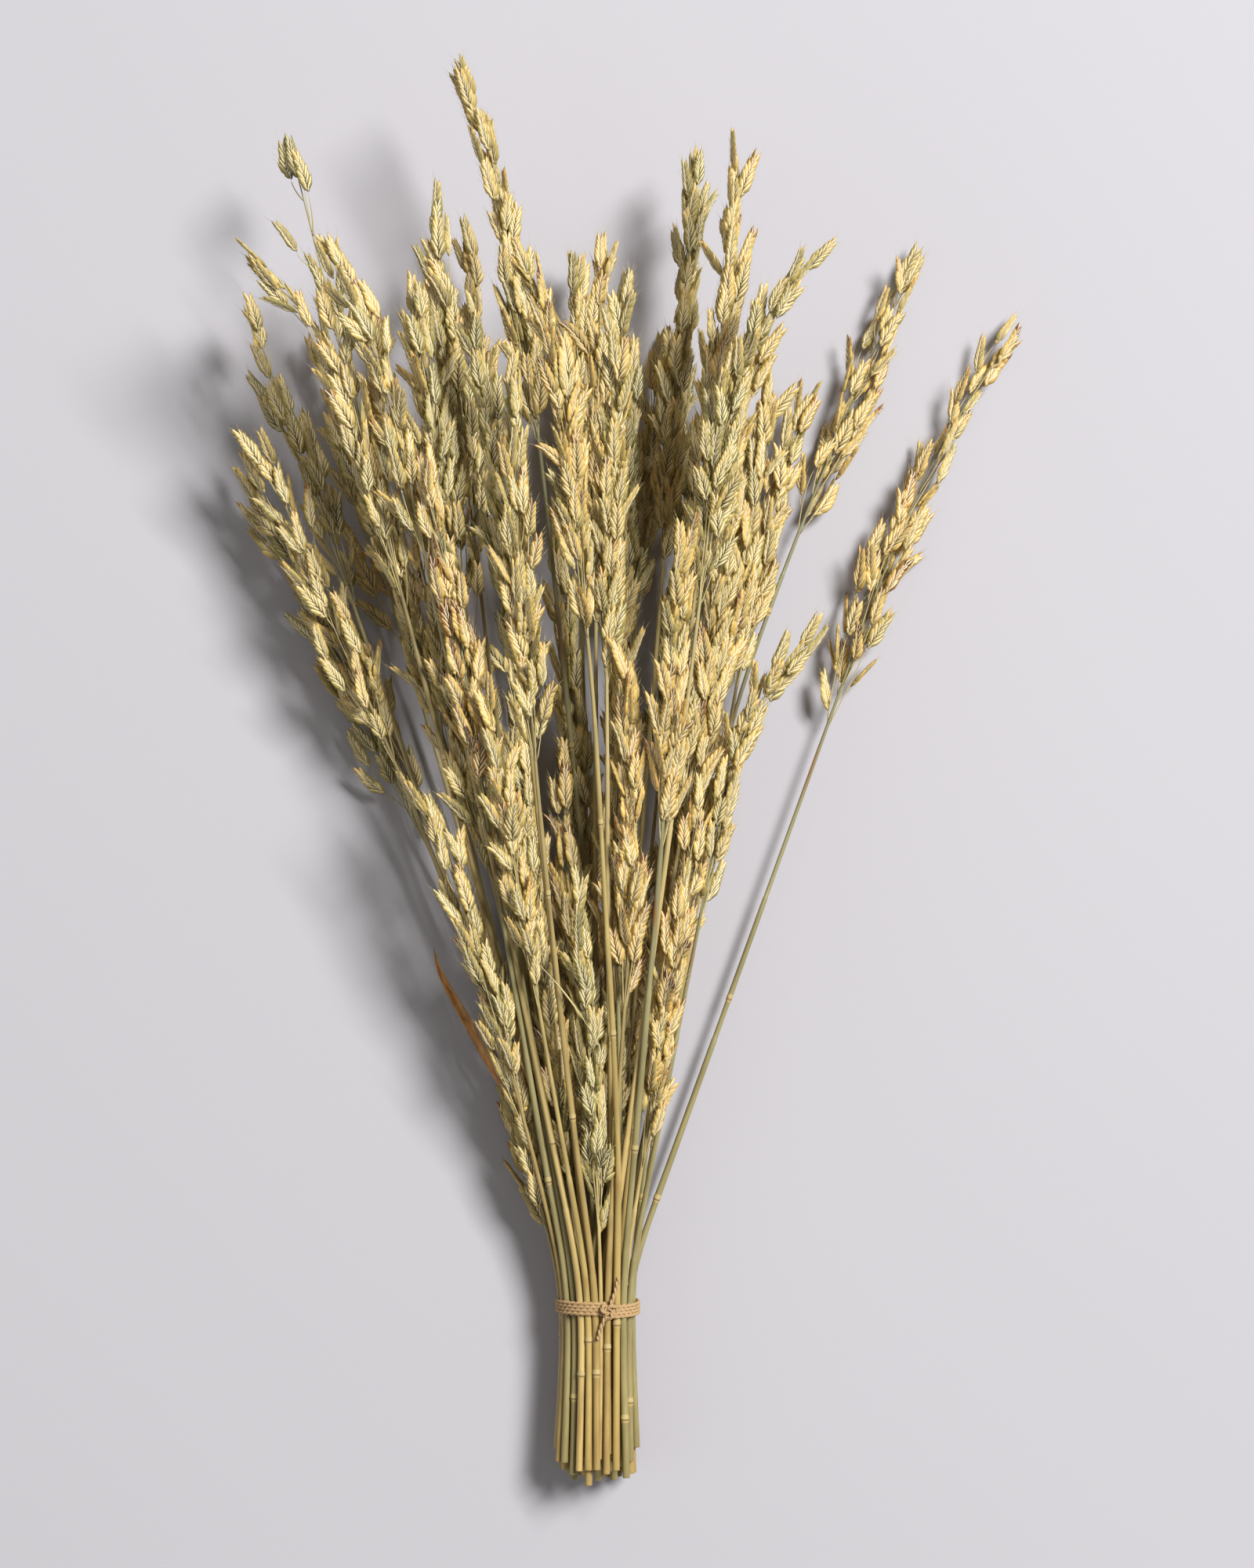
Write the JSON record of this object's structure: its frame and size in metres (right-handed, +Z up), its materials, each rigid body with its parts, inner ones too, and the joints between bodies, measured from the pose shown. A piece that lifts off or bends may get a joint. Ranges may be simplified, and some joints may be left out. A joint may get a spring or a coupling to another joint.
{
  "type": "bundle of dried brome grass",
  "caption": "Tied bundle of dried brome grass lying on its side: thin straws fanning out to long nodding heads of flat, scaly spikelets.",
  "frame": {"origin": "on the surface that the bundle lies on, under the middle of its bounding box", "axes": "+Y along the straws towards the heads, +X across the fan, +Z up off the surface"},
  "size_m": [0.3966, 0.707, 0.1373],
  "materials": {
    "straw": "dry, satin, pale golden straw that turns grey-green towards the heads",
    "leaf": "dry, matt, orange brown",
    "twine": "matt, fibrous"
  },
  "bodies": {
    "root": {"stalk_01": "straw", "stalk_02": "straw", "stalk_03": "straw", "stalk_04": "straw", "stalk_05": "straw", "stalk_06": "straw", "stalk_07": "straw", "stalk_08": "straw", "stalk_09": "straw", "stalk_10": "straw", "stalk_11": "straw", "stalk_12": "straw", "stalk_13": "straw", "stalk_14": "straw", "stalk_15": "straw", "stalk_16": "straw", "stalk_17": "straw", "stalk_18": "straw", "stalk_19": "straw", "stalk_20": "straw", "stalk_21": "straw", "stalk_22": "straw", "stalk_23": "straw", "stalk_24": "straw", "stalk_25": "straw", "stalk_26": "straw", "stalk_27": "straw", "stalk_28": "straw", "stalk_29": "straw", "stalk_30": "straw", "stalk_31": "straw", "stalk_32": "straw", "stalk_33": "straw", "stalk_34": "straw", "stalk_35": "straw", "stalk_36": "straw", "stalk_37": "straw", "stalk_38": "straw", "stalk_39": "straw", "stalk_40": "straw", "stalk_41": "straw", "stalk_42": "straw", "stalk_43": "straw", "stalk_44": "straw", "stalk_45": "straw", "stalk_46": "straw", "stalk_47": "straw", "stalk_48": "straw", "stalk_49": "straw", "stalk_50": "straw", "stalk_51": "straw", "stalk_52": "straw", "stalk_53": "straw", "stalk_54": "straw", "stalk_55": "straw", "stalk_56": "straw", "stalk_57": "straw", "dry_leaf": "leaf", "withered_thread": "straw", "tie": "twine"}
  },
  "joints": []
}
